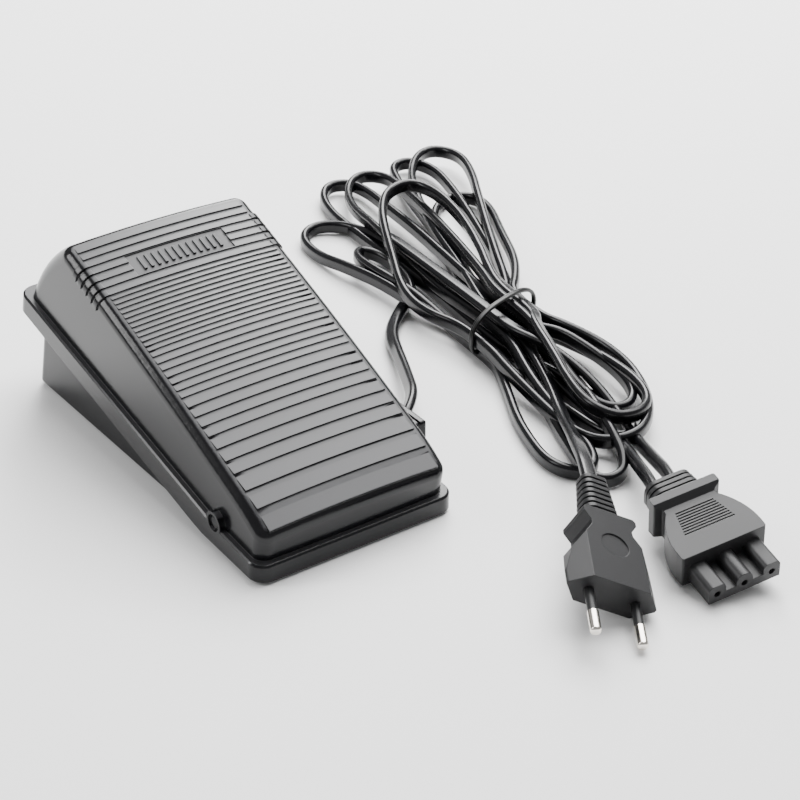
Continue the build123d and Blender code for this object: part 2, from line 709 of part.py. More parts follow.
with BuildPart() as fuse_clips:
    for x in (-5.5, 9.5):
        add(block(x, -29.0, BOARD_TOP, 4.0, 6.6, 5.4))
        with BuildSketch(Plane.YZ.offset(x - 3)):
            with Locations((-29.0, FUSE_Z)):
                Circle(2.5)
            with Locations((-29.0, FUSE_Z + 2.0)):
                Rectangle(3.6, 4.0)
        extrude(amount=6, mode=Mode.SUBTRACT)
save(fuse_clips.part, "fuse_clips")


# ---------------------------------------------------------------- cord entry
with BuildPart() as terminal_block:
    add(block(TERMINAL_X, TERMINAL_Y, FLOOR, 15.0, 18.0, 11.0, 0.8))
    for y in TERMINAL_ROWS:
        with BuildSketch(Plane.YZ.offset(TERMINAL_X - 8)):
            with Locations((y, WIRE_Z)):
                Circle(1.5)
        extrude(amount=16, mode=Mode.SUBTRACT)
        with BuildSketch(Plane.XY.offset(FLOOR + 11)):
            with Locations((TERMINAL_X, y)):
                Circle(2.4)
        extrude(amount=-2.5, mode=Mode.SUBTRACT)
save(terminal_block.part, "terminal_block")

with BuildPart() as terminal_screws:
    for y in TERMINAL_ROWS:
        with BuildSketch(Plane.XY.offset(FLOOR + 8.5)):
            with Locations((TERMINAL_X, y)):
                Circle(2.1)
        extrude(amount=2.2)
        with BuildSketch(Plane.XY.offset(FLOOR + 10.7)):
            with Locations((TERMINAL_X, y)):
                Rectangle(5.0, 0.6)
        extrude(amount=-0.9, mode=Mode.SUBTRACT)
save(terminal_screws.part, "terminal_screws")

with BuildPart() as cord_gland:
    add(block((TUB_HALF + GLAND_OUT) / 2, GLAND_MID, GLAND_Z[0], GLAND_OUT - TUB_HALF,
              GLAND_Y[1] - GLAND_Y[0], GLAND_Z[1] - GLAND_Z[0]))
    fillet([e for e in cord_gland.edges() if e.center().X > TUB_HALF + 2], 1.2)
    add(block(TUB_HALF - 1.5, GLAND_MID, GLAND_NECK[0], 5.0, GLAND_NECK[1], 6.6))
    add(block(TUB_HALF - TUB_WALL - 1.0, GLAND_MID, GLAND_Z[0], 2.0,
              GLAND_Y[1] - GLAND_Y[0], GLAND_Z[1] - GLAND_Z[0]))
    with BuildSketch(Plane.XY.offset(GLAND_Z[1])):
        with Locations((51.9, (GLAND_Y[0] - 43.3) / 2)):
            Rectangle(1.0, -43.3 - GLAND_Y[0])
    extrude(amount=-1.0, mode=Mode.SUBTRACT)
save(cord_gland.part, "cord_gland")

with BuildPart() as cord_tail:
    add(rod((TUB_HALF - TUB_WALL - 2.0, GLAND_MID, LEAD_Z), (10.0, GLAND_MID, LEAD_Z), LEAD_R))
save(cord_tail.part, "cord_tail")

with BuildPart() as cord_wires:
    for y, row in zip((-1.1, 1.1), TERMINAL_ROWS):
        add(bent_rod([(10.0, GLAND_MID + y, LEAD_Z), (6.0, GLAND_MID + y, LEAD_Z),
                      (2.0, row, WIRE_Z), (TERMINAL_X + 3.0, row, WIRE_Z)], 0.9, 1.6))
save(cord_wires.part, "cord_wires")

with BuildPart() as board_wires:
    for row, y in zip(TERMINAL_ROWS, (-26.0, -22.0)):
        add(bent_rod([(TERMINAL_X - 3.0, row, WIRE_Z), (-25.0, row, WIRE_Z),
                      (-31.0 + (y + 26) / 2, -36.0, 22.0), (-26.0, y, 22.0),
                      (-24.0, y, BOARD_TOP)], 0.8, 2.0))
save(board_wires.part, "board_wires")

with BuildPart() as pot_wires:
    for x in (-5, 0, 5):
        add(bent_rod([(x, POT_Y - 9.0, POT_BOTTOM + 3.4), (x, POT_Y - 11.5, POT_BOTTOM + 3.6),
                      (x * 0.8, POT_Y - 12.5, 19.0), (x * 0.8, POT_Y - 17.5, 18.6),
                      (x * 0.8, POT_Y - 18.5, BOARD_TOP)], 0.6, 1.0))
save(pot_wires.part, "pot_wires")

with BuildPart() as cord_clamp:
    add(block(CLAMP_X, GLAND_MID, CLAMP_Z, 6.4, 17.6, 6.5, 1.5))
    with BuildSketch(Plane.YZ.offset(CLAMP_X - 5)):
        with Locations((GLAND_MID, LEAD_Z)):
            Circle(LEAD_R)
        with Locations((GLAND_MID, LEAD_Z - 3)):
            Rectangle(2 * LEAD_R, 6)
    extrude(amount=10, mode=Mode.SUBTRACT)
    for x, y in CLAMP_POSTS:
        with BuildSketch(Plane.XY.offset(CLAMP_Z)):
            with Locations((x, y)):
                Circle(1.6)
        extrude(amount=8, mode=Mode.SUBTRACT)
save(cord_clamp.part, "cord_clamp")

with BuildPart() as clamp_screws:
    for x, y in CLAMP_POSTS:
        add(screw(x, y, CLAMP_Z + 6.5, 4.6, head_r=2.4))
save(clamp_screws.part, "clamp_screws")


# ---------------------------------------------------------------- leads
def lead(name, points):
    """Plain round tube along a route, with arcs as large as the runs allow."""
    route = [Vector(*p) for p in points]
    radii = []
    for before, here, after in zip(route, route[1:], route[2:]):
        turn = radians((here - before).get_angle(after - here))
        shorter = min((here - before).length, (after - here).length)
        radii.append(0.45 * shorter / tan(turn / 2))
    with BuildPart() as tube:
        with BuildLine() as path:
            FilletPolyline(*route, radius=radii)
        with BuildSketch(Plane(origin=path.line @ 0, z_dir=path.line % 0)):
            Circle(LEAD_R)
        sweep()
    section = 3.14159 * LEAD_R ** 2
    length = sum(edge.length for edge in path.edges())
    print(name, "radii", [round(r) for r in radii], "length", round(length, 1),
          "volume ratio", round(tube.part.volume / (section * length), 4))
    save(tube.part, name)


lead("pedal_lead", PEDAL_LEAD)
lead("plug_lead", PLUG_LEAD)
lead("connector_lead_a", CONNECTOR_LEAD_A)
lead("connector_lead_b", CONNECTOR_LEAD_B)

with BuildPart() as cord_hank:
    with BuildSketch(Plane.XY.offset(0.3)):
        with BuildLine():
            Spline(*HANK_OUTLINE, periodic=True)
        make_face()
    extrude(amount=HANK_HEIGHT)
save(cord_hank.part, "cord_hank")

with BuildPart() as cord_tie:
    across = Vector(*TIE_ACROSS, 0)
    with BuildSketch(Plane(origin=TIE_AT, x_dir=across, z_dir=across.cross(Vector(0, 0, 1)))):
        Ellipse(TIE_HALF[0] + 0.9, TIE_HALF[1] + 0.9)
        Ellipse(TIE_HALF[0] - 0.9, TIE_HALF[1] - 0.9, mode=Mode.SUBTRACT)
    extrude(amount=0.9, both=True)
    chamfer(cord_tie.edges(), 0.4)
save(cord_tie.part, "cord_tie")


# ---------------------------------------------------------------- mains plug
# Local x runs across the plug, y up its thickness and z back from the pin face to the cord.
PLUG_FRAME = Plane(
    origin=PLUG_FACE,
    x_dir=Vector(*PLUG_WIDTH_DIR) * -1,
    z_dir=Vector(*PLUG_PIN_DIR) * -1,
)
CONNECTOR_FRAME = Plane(
    origin=CONNECTOR_FACE,
    x_dir=Vector(*CONNECTOR_WIDTH_DIR) * -1,
    z_dir=Vector(*CONNECTOR_BACK_DIR),
)


def side_on(frame):
    """Sketch plane of a plug seen from above: x across, y towards the cord."""
    return Plane(origin=frame.origin, x_dir=frame.x_dir, z_dir=frame.y_dir * -1)


def ridged_boot(frame, back, sizes, ridges, ridge_long, grow):
    """Tapered cord boot between two distances, with rings round it."""
    start, end = back
    (wide_a, tall_a), (wide_b, tall_b) = sizes
    with BuildPart(mode=Mode.PRIVATE) as boot:
        with BuildSketch(frame.offset(start)):
            RectangleRounded(wide_a - grow, tall_a - grow, (tall_a - grow) * 0.35)
        with BuildSketch(frame.offset(end)):
            RectangleRounded(wide_b - grow, tall_b - grow, (tall_b - grow) * 0.35)
        loft()
        for index in range(ridges):
            t = (index + 0.9) / ridges
            wide = wide_a + (wide_b - wide_a) * t
            tall = tall_a + (tall_b - tall_a) * t
            with BuildSketch(frame.offset(start + (end - start) * t - ridge_long)):
                RectangleRounded(wide, tall, tall * 0.35)
            extrude(amount=ridge_long)
    return boot.part


with BuildPart() as plug_body:
    with BuildSketch(side_on(PLUG_FRAME)):
        with BuildLine():
            right = Polyline((-17.65, 0), (-17.65, 6.0), (-15.4, 15.0), (-8.4, 25.0),
                             (-8.2, 27.0), (-10.6, 30.6), (-10.6, 32.4), (-9.6, PLUG_BOOT[0]))
            mirror(right, about=Plane.YZ)
            Line((-9.6, PLUG_BOOT[0]), (9.6, PLUG_BOOT[0]))
            Line((-17.65, 0), (17.65, 0))
        make_face()
    extrude(amount=PLUG_HALF_THICK, both=True)
    with BuildSketch(PLUG_FRAME):
        with BuildLine():
            Polyline((-17.65, -0.6), (-11.3, -PLUG_HALF_THICK), (11.3, -PLUG_HALF_THICK),
                     (17.65, -0.6), (17.65, 0.6), (11.3, PLUG_HALF_THICK),
                     (-11.3, PLUG_HALF_THICK), (-17.65, 0.6), close=True)
        make_face()
    extrude(amount=PLUG_BOOT[0], mode=Mode.INTERSECT)
    # thumb recess on top and under
    for side in (-1, 1):
        with BuildSketch(Plane(origin=PLUG_FRAME.from_local_coords((0, side * 7.85, 18.0)),
                               x_dir=PLUG_FRAME.x_dir, z_dir=PLUG_FRAME.y_dir * side)):
            Ellipse(5.5, 5.0)
        extrude(amount=-1.5, mode=Mode.SUBTRACT)
    for x in (-MAINS_PIN_X, MAINS_PIN_X):
        with BuildSketch(PLUG_FRAME):
            with Locations((x, 0)):
                Circle(MAINS_SLEEVE_R)
        extrude(amount=6.0, mode=Mode.SUBTRACT)
save(plug_body.part, "plug_body")

with BuildPart() as plug_boot:
    add(ridged_boot(PLUG_FRAME, PLUG_BOOT, ((14.5, 10.5), (10.4, 8.0)), 8, 1.5, 2.0))
save(plug_boot.part, "plug_boot")

with BuildPart() as plug_pins:
    for x in (-MAINS_PIN_X, MAINS_PIN_X):
        with BuildSketch(PLUG_FRAME.offset(6.0)):
            with Locations((x, 0)):
                Circle(1.3)
        extrude(amount=-16.0)
        with BuildSketch(PLUG_FRAME.offset(-10.0)):
            with Locations((x, 0)):
                Circle(MAINS_PIN_R)
        extrude(amount=-9.0)
    tips = plug_pins.edges().filter_by(GeomType.CIRCLE).group_by(Axis(PLUG_FACE, PLUG_PIN_DIR))[-1]
    fillet(tips, 1.2)
save(plug_pins.part, "plug_pins")

with BuildPart() as pin_sleeves:
    for x in (-MAINS_PIN_X, MAINS_PIN_X):
        with BuildSketch(PLUG_FRAME.offset(6.0)):
            with Locations((x, 0)):
                Circle(MAINS_SLEEVE_R)
                Circle(1.3, mode=Mode.SUBTRACT)
        extrude(amount=-16.0)
save(pin_sleeves.part, "pin_sleeves")


# ---------------------------------------------------------------- machine connector
with BuildPart() as connector_body:
    mid = -CONNECTOR_THICK / 2
    frame = CONNECTOR_FRAME
    top = side_on(frame)
    with BuildSketch(top):
        with BuildLine():
            front = Line((16.8, 0), (16.9, 4.0))
            side = ThreePointArc(front @ 1, (15.2, 13.5), (10.6, 21.5))
            Polyline(side @ 1, (10.4, 23.6), COLLAR[0], COLLAR[1], (9.5, COLLAR[1][1]))
            mirror(about=Plane.YZ)
            Line((-9.5, COLLAR[1][1]), (9.5, COLLAR[1][1]))
            Line((-16.8, 0), (16.8, 0))
        make_face()
    extrude(amount=CONNECTOR_THICK)
    extrude(connector_body.faces().sort_by(Axis(frame.origin, frame.y_dir))[-1], amount=COLLAR_RISE)
    fillet([e for e in connector_body.edges() if abs(e.tangent_at(0.5).dot(frame.y_dir)) > 0.99], 0.8)
    # only the collar stands above the top face
    with BuildSketch(Plane(origin=frame.origin, x_dir=frame.z_dir, z_dir=frame.x_dir * -1)):
        with BuildLine():
            Polyline((-2.0, 0), (23.2, 0), (25.3, COLLAR_RISE), (25.3, 5.0), (-2.0, 5.0), close=True)
        make_face()
    extrude(amount=20.0, both=True, mode=Mode.SUBTRACT)
    # parallel grip lines on top
    with BuildSketch(top):
        for row in range(9):
            with Locations((0, 9.8 + row * 1.25)):
                Rectangle(20.2 - 0.6 * row, 0.5)
    extrude(amount=0.4, mode=Mode.SUBTRACT)

    # three barrels on one plate
    with BuildSketch(frame):
        with Locations((0, -CONNECTOR_THICK + 3.4)):
            Rectangle(28.5, 3.6)
        for x in (-BARREL_PITCH, BARREL_PITCH):
            with Locations((x, -CONNECTOR_THICK + 5.4)):
                RectangleRounded(6.8, 7.6, 2.0)
        with Locations((0, -CONNECTOR_THICK + 5.6)):
            SlotOverall(8.0, 6.6, rotation=90)
    extrude(amount=-BARREL_LENGTH)
    for x in (-BARREL_PITCH, 0, BARREL_PITCH):
        with BuildSketch(frame.offset(-BARREL_LENGTH)):
            with Locations((x, -CONNECTOR_THICK + 5.2)):
                Circle(SOCKET_R)
        extrude(amount=SOCKET_LIP, mode=Mode.SUBTRACT)
        with BuildSketch(frame.offset(SOCKET_LIP - BARREL_LENGTH)):
            with Locations((x, -CONNECTOR_THICK + 5.2)):
                Circle(SOCKET_R + 0.6)
        extrude(amount=SOCKET_DEEP, mode=Mode.SUBTRACT)
save(connector_body.part, "connector_body")

with BuildPart() as connector_boot:
    boot_frame = Plane(origin=CONNECTOR_FRAME.from_local_coords((0, mid, 0)),
                       x_dir=frame.x_dir, z_dir=frame.z_dir)
    add(ridged_boot(boot_frame, (28.8, 38.3), ((20.8, 13.4), (18.8, 12.4)), 4, 1.6, 1.6))
save(connector_boot.part, "connector_boot")

with BuildPart() as connector_contacts:
    for x in (-BARREL_PITCH, 0, BARREL_PITCH):
        with BuildSketch(frame.offset(SOCKET_LIP - BARREL_LENGTH)):
            with Locations((x, -CONNECTOR_THICK + 5.2)):
                Circle(SOCKET_R + 0.6)
                Circle(SOCKET_R, mode=Mode.SUBTRACT)
        extrude(amount=SOCKET_DEEP)
save(connector_contacts.part, "connector_contacts")
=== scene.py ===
"""Foot speed controller with its two flat leads in one tied hank: looks, cords, light and camera."""

import json
import math

import bpy
from mathutils import Vector
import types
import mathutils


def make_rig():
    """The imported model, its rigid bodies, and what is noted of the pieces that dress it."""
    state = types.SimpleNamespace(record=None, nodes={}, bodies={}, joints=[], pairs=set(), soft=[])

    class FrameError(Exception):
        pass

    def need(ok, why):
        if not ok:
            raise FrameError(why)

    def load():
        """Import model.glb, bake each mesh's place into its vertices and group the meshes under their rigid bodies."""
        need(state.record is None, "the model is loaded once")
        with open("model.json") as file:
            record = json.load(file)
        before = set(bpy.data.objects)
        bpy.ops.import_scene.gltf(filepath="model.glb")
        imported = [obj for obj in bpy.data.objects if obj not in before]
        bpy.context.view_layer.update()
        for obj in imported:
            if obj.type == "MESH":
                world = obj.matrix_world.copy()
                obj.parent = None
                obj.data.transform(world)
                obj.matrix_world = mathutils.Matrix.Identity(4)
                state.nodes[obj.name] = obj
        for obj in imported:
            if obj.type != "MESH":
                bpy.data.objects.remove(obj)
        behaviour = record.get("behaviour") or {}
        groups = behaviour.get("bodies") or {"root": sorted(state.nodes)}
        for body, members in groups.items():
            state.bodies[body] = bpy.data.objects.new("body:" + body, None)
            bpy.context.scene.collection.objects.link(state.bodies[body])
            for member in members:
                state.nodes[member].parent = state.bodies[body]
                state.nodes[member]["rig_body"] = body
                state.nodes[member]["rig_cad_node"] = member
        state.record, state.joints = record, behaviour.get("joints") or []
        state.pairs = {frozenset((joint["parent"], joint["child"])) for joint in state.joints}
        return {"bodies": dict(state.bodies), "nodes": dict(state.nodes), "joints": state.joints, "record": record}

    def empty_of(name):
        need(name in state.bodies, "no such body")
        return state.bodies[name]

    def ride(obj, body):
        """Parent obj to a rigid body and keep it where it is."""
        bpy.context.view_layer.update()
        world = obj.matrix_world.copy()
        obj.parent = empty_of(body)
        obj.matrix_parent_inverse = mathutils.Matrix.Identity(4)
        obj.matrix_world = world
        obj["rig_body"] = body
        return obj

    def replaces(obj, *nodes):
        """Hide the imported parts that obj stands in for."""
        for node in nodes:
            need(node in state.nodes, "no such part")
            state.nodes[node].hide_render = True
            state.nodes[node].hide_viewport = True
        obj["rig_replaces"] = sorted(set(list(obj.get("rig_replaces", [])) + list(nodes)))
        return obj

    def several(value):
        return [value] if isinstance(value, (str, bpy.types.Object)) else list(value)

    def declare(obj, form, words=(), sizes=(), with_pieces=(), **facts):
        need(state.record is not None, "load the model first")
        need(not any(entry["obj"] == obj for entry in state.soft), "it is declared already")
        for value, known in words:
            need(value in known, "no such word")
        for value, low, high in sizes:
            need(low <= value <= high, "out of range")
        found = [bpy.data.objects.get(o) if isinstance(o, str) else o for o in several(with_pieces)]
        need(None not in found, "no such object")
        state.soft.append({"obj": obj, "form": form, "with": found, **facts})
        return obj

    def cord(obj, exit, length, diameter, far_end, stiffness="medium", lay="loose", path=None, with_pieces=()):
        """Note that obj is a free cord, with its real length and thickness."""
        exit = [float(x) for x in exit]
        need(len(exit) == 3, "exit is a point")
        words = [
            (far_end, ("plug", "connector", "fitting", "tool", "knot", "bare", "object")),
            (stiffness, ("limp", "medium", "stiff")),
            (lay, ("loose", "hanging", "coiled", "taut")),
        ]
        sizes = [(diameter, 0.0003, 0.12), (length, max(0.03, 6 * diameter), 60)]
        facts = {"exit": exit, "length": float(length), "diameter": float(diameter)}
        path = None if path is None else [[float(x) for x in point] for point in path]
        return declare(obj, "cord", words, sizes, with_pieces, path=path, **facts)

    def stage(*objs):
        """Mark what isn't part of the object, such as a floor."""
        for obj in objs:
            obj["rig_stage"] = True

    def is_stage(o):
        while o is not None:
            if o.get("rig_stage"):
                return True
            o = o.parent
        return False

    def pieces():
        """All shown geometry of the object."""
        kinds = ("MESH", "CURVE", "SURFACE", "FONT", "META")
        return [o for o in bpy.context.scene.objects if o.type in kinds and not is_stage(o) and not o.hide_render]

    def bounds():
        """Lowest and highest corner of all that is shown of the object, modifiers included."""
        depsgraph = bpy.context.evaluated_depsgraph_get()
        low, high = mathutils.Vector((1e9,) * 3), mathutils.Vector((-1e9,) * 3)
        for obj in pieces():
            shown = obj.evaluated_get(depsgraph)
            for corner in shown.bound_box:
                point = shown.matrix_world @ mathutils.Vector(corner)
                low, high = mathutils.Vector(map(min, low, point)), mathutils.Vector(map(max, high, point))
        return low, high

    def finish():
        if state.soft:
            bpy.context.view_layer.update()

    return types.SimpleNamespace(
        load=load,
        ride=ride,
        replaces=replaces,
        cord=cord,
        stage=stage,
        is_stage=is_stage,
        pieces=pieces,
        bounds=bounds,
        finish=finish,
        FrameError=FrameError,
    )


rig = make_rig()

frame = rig.load()
bounds_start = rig.bounds()
nodes = frame["nodes"]
MM = 0.001

# ---------------------------------------------------------------- camera
camera_data = bpy.data.cameras.new("camera")
camera_data.sensor_width = 36.0
camera_data.lens = 98.9
camera_data.clip_start = 0.01
camera = bpy.data.objects.new("camera", camera_data)
camera.location = (-0.3616, -0.6207, 0.4441)
camera.rotation_euler = (math.radians(90.0 - 30.688), 0.0, math.radians(-35.425))
bpy.context.scene.collection.objects.link(camera)
bpy.context.scene.camera = camera


# ---------------------------------------------------------------- materials
def material(name, color, rough, metallic=0.0, bump=0.0, bump_scale=900.0, bevel=0.0,
             mottle=0.0, specular=0.5):
    """Plastic, rubber or metal with fine procedural relief and worn-smooth edges."""
    m = bpy.data.materials.new(name)
    m.use_nodes = True
    tree = m.node_tree
    shader = tree.nodes["Principled BSDF"]
    shader.inputs["Base Color"].default_value = (*color, 1.0)
    shader.inputs["Roughness"].default_value = rough
    shader.inputs["Metallic"].default_value = metallic
    shader.inputs["Specular IOR Level"].default_value = specular
    where = tree.nodes.new("ShaderNodeTexCoord")
    normal = None
    if bevel:
        edge = tree.nodes.new("ShaderNodeBevel")
        edge.samples = 4
        edge.inputs["Radius"].default_value = bevel
        normal = edge.outputs["Normal"]
    if bump:
        noise = tree.nodes.new("ShaderNodeTexNoise")
        noise.inputs["Scale"].default_value = bump_scale
        noise.inputs["Detail"].default_value = 3.0
        tree.links.new(where.outputs["Object"], noise.inputs["Vector"])
        relief = tree.nodes.new("ShaderNodeBump")
        relief.inputs["Strength"].default_value = bump
        relief.inputs["Distance"].default_value = 0.0002
        tree.links.new(noise.outputs["Fac"], relief.inputs["Height"])
        if normal:
            tree.links.new(normal, relief.inputs["Normal"])
        normal = relief.outputs["Normal"]
    if normal:
        tree.links.new(normal, shader.inputs["Normal"])
    if mottle:
        cloud = tree.nodes.new("ShaderNodeTexNoise")
        cloud.inputs["Scale"].default_value = 60.0
        cloud.inputs["Detail"].default_value = 4.0
        tree.links.new(where.outputs["Object"], cloud.inputs["Vector"])
        spread = tree.nodes.new("ShaderNodeMapRange")
        spread.inputs["To Min"].default_value = max(0.0, rough - mottle)
        spread.inputs["To Max"].default_value = rough + mottle
        tree.links.new(cloud.outputs["Fac"], spread.inputs["Value"])
        tree.links.new(spread.outputs["Result"], shader.inputs["Roughness"])
    return m


GLOSS = material("gloss_black", (0.004, 0.004, 0.005), 0.2, bump=0.02, bump_scale=260.0,
                 bevel=0.0005, mottle=0.03, specular=0.3)
TUB = material("tub_black", (0.005, 0.005, 0.006), 0.26, bump=0.05, bevel=0.0004, mottle=0.04,
               specular=0.18)
VINYL = material("cord_vinyl", (0.004, 0.004, 0.005), 0.24, bump=0.02, bump_scale=500.0,
                 mottle=0.05, specular=0.25)
MOULDED = material("plug_black", (0.016, 0.016, 0.017), 0.4, bump=0.08, bump_scale=2500.0,
                   bevel=0.0004, mottle=0.04, specular=0.3)
TIE = material("tie_black", (0.006, 0.006, 0.006), 0.3, bump=0.04, specular=0.3)
PIN_END = material("hinge_black", (0.008, 0.008, 0.009), 0.4, bump=0.05, specular=0.3)
RUBBER = material("rubber", (0.02, 0.02, 0.02), 0.7, bump=0.2)
STEEL = material("steel", (0.5, 0.5, 0.52), 0.3, metallic=1.0, bump=0.03, bevel=0.0002)
NICKEL = material("nickel", (0.78, 0.74, 0.68), 0.16, metallic=1.0, bevel=0.0002)
BRASS = material("brass", (0.75, 0.55, 0.25), 0.25, metallic=1.0)
ALUMINIUM = material("aluminium", (0.7, 0.7, 0.72), 0.35, metallic=1.0, bump=0.05)
BOARD = material("board", (0.02, 0.16, 0.06), 0.35, bump=0.05)
NYLON = material("nylon", (0.8, 0.79, 0.74), 0.4)
TAN = material("tan", (0.5, 0.36, 0.2), 0.4)
BLUE = material("blue", (0.03, 0.1, 0.35), 0.25)
YELLOW = material("yellow", (0.7, 0.5, 0.06), 0.3)
COPPER = material("copper", (0.6, 0.24, 0.1), 0.3, metallic=1.0)
FERRITE = material("ferrite", (0.05, 0.07, 0.05), 0.6)
BROWN = material("brown", (0.12, 0.04, 0.015), 0.35)
GLASS = material("fuse_glass", (0.8, 0.85, 0.85), 0.08)


def top_painted_reflection(m, direction, color, rough):
    """Faces square to a direction get a paler base colour, a painted reflection of the overhead light, and a rougher
    finish.
    """
    tree = m.node_tree
    shader = tree.nodes["Principled BSDF"]
    facing = tree.nodes.new("ShaderNodeNewGeometry")
    along = tree.nodes.new("ShaderNodeVectorMath")
    along.operation = "DOT_PRODUCT"
    along.inputs[1].default_value = direction
    tree.links.new(facing.outputs["Normal"], along.inputs[0])
    top_reflection_mask = tree.nodes.new("ShaderNodeMapRange")
    top_reflection_mask.inputs["From Min"].default_value = 0.9
    top_reflection_mask.inputs["From Max"].default_value = 0.985
    tree.links.new(along.outputs["Value"], top_reflection_mask.inputs["Value"])
    # Painted reflection: the masked top faces are mixed toward the paler grey colour.
    painted_reflection_tint = tree.nodes.new("ShaderNodeMix")
    painted_reflection_tint.data_type = "RGBA"
    painted_reflection_tint.inputs[6].default_value = shader.inputs["Base Color"].default_value[:]
    painted_reflection_tint.inputs[7].default_value = (*color, 1.0)
    tree.links.new(top_reflection_mask.outputs["Result"], painted_reflection_tint.inputs[0])
    tree.links.new(painted_reflection_tint.outputs[2], shader.inputs["Base Color"])
    finish = tree.nodes.new("ShaderNodeMapRange")
    finish.inputs["To Min"].default_value = shader.inputs["Roughness"].default_value
    finish.inputs["To Max"].default_value = rough
    tree.links.new(top_reflection_mask.outputs["Result"], finish.inputs["Value"])
    tree.links.new(finish.outputs["Result"], shader.inputs["Roughness"])


# Painted reflection: the treadle's top plate gets a paler grey base colour in place of the overhead light it reflects;
# the plastic is the same gloss black as the sides.
top_painted_reflection(GLOSS, (0.0, -0.362, 0.932), (0.045, 0.045, 0.048), 0.36)
LOOKS = {
    GLOSS: ["treadle_cover"],
    TUB: ["base_tub", "cord_gland"],
    MOULDED: ["plug_body", "plug_boot", "pin_sleeves", "connector_body", "connector_boot",
              "slide_pot", "triac", "electrolytic_capacitor"],
    RUBBER: ["rubber_feet"],
    PIN_END: ["hinge_pin"],
    STEEL: ["return_springs", "plunger_spring", "pot_bracket", "bracket_screws",
            "board_screws", "triac_screw", "clamp_screws"],
    NICKEL: ["plug_pins", "pot_terminals", "fuse_clips"],
    BRASS: ["terminal_screws", "connector_contacts"],
    ALUMINIUM: ["heat_sink"],
    BOARD: ["circuit_board"],
    NYLON: ["plunger", "terminal_block", "cord_clamp"],
    TAN: ["resistors"],
    BLUE: ["timing_capacitor", "trigger_diode", "trimmer", "board_wires"],
    YELLOW: ["suppressor_capacitor"],
    COPPER: ["choke_winding"],
    FERRITE: ["choke_core"],
    BROWN: ["cord_wires", "pot_wires"],
    GLASS: ["fuse"],
    VINYL: ["cord_tail"],
}
for look, names in LOOKS.items():
    for name in names:
        nodes[name].data.materials.clear()
        nodes[name].data.materials.append(look)

# ---------------------------------------------------------------- cords
# Lengths are in millimetres and rolls in degrees: 0 lies flat, EDGE stands on the narrow side.
EDGE = 90.0
CORD_WIDE = 6.0
CORD_THICK = 3.7
GROOVE = 0.12
ARC_STEPS = 8
TIE_CENTRE = Vector((134.0, 2.0, 0.0))
TIE_ACROSS = Vector((0.96, 0.28, 0.0))
BUNDLE_RUN = Vector((0.1, 0.995, 0.0))
NECK_BELOW = 11.0
NECK_ABOVE = 13.0


def neck(across, height, upward, roll=EDGE):
    """Two points that take a strand through the tie."""
    low = TIE_CENTRE + TIE_ACROSS * across - BUNDLE_RUN * NECK_BELOW
    high = TIE_CENTRE + TIE_ACROSS * across + BUNDLE_RUN * NECK_ABOVE
    pair = [(low.x, low.y, height, roll), (high.x, high.y, height, roll)]
    return pair if upward else pair[::-1]


def smooth_route(name, points):
    """Points along the spline whose control points these are, in metres, with the cord's roll."""
    curve = bpy.data.curves.new(name + "_line", "CURVE")
    curve.dimensions = "3D"
    curve.resolution_u = 8
    spline = curve.splines.new("NURBS")
    spline.points.add(len(points) - 1)
    for point, (x, y, z, roll) in zip(spline.points, points):
        point.co = (x * MM, y * MM, z * MM, 1.0)
    spline.order_u = 3
    spline.use_endpoint_u = True
    holder = bpy.data.objects.new(name + "_line", curve)
    bpy.context.scene.collection.objects.link(holder)
    bpy.context.view_layer.update()
    shape = bpy.data.meshes.new_from_object(holder.evaluated_get(
        bpy.context.evaluated_depsgraph_get()))
    line = [v.co.copy() for v in shape.vertices]
    bpy.data.objects.remove(holder)
    bpy.data.curves.remove(curve)
    bpy.data.meshes.remove(shape)
    rolls = []
    last = len(line) - 1
    for i in range(len(line)):
        at = i / last * (len(points) - 2) + 0.5
        k = min(max(int(at), 0), len(points) - 2)
        t = min(max(at - k, 0.0), 1.0)
        rolls.append(math.radians(points[k][3] * (1 - t) + points[k + 1][3] * t))
    return line, rolls


def flat_cord(name, points):
    """Flat two-core lead along a route: two round ends with a shallow groove between the cores."""
    line, rolls = smooth_route(name, points)
    half = (CORD_WIDE - CORD_THICK) / 2
    section = []
    for end, start in ((1, -90), (-1, 90)):
        for step in range(ARC_STEPS + 1):
            a = math.radians(start + 180 * step / ARC_STEPS)
            section.append((end * half + CORD_THICK / 2 * math.cos(a), CORD_THICK / 2 * math.sin(a)))
        section.append((0.0, end * (CORD_THICK / 2 - GROOVE)))
    verts = []
    count = len(section)
    for i, point in enumerate(line):
        ahead = line[min(i + 1, len(line) - 1)] - line[max(i - 1, 0)]
        ahead.normalize()
        side = ahead.cross(Vector((0, 0, 1))).normalized()
        up = side.cross(ahead)
        wide = side * math.cos(rolls[i]) + up * math.sin(rolls[i])
        thick = up * math.cos(rolls[i]) - side * math.sin(rolls[i])
        verts += [point + wide * (a * MM) + thick * (b * MM) for a, b in section]
    faces = []
    for i in range(len(line) - 1):
        for k in range(count):
            a = i * count + k
            b = i * count + (k + 1) % count
            faces.append((a, b, b + count, a + count))
    faces.append(tuple(range(count))[::-1])
    faces.append(tuple((len(line) - 1) * count + k for k in range(count)))
    mesh = bpy.data.meshes.new(name)
    mesh.from_pydata([tuple(v) for v in verts], [], faces)
    mesh.validate()
    for polygon in mesh.polygons:
        polygon.use_smooth = len(polygon.vertices) == 4
    mesh.materials.append(VINYL)
    cord = bpy.data.objects.new(name, mesh)
    bpy.context.scene.collection.objects.link(cord)
    length = sum((b - a).length for a, b in zip(line, line[1:]))
    print(name, "length", round(length, 3))
    return cord, line, length


def rolled(roll, *points):
    """The same roll given to several points."""
    return [(x, y, z, roll) for x, y, z in points]


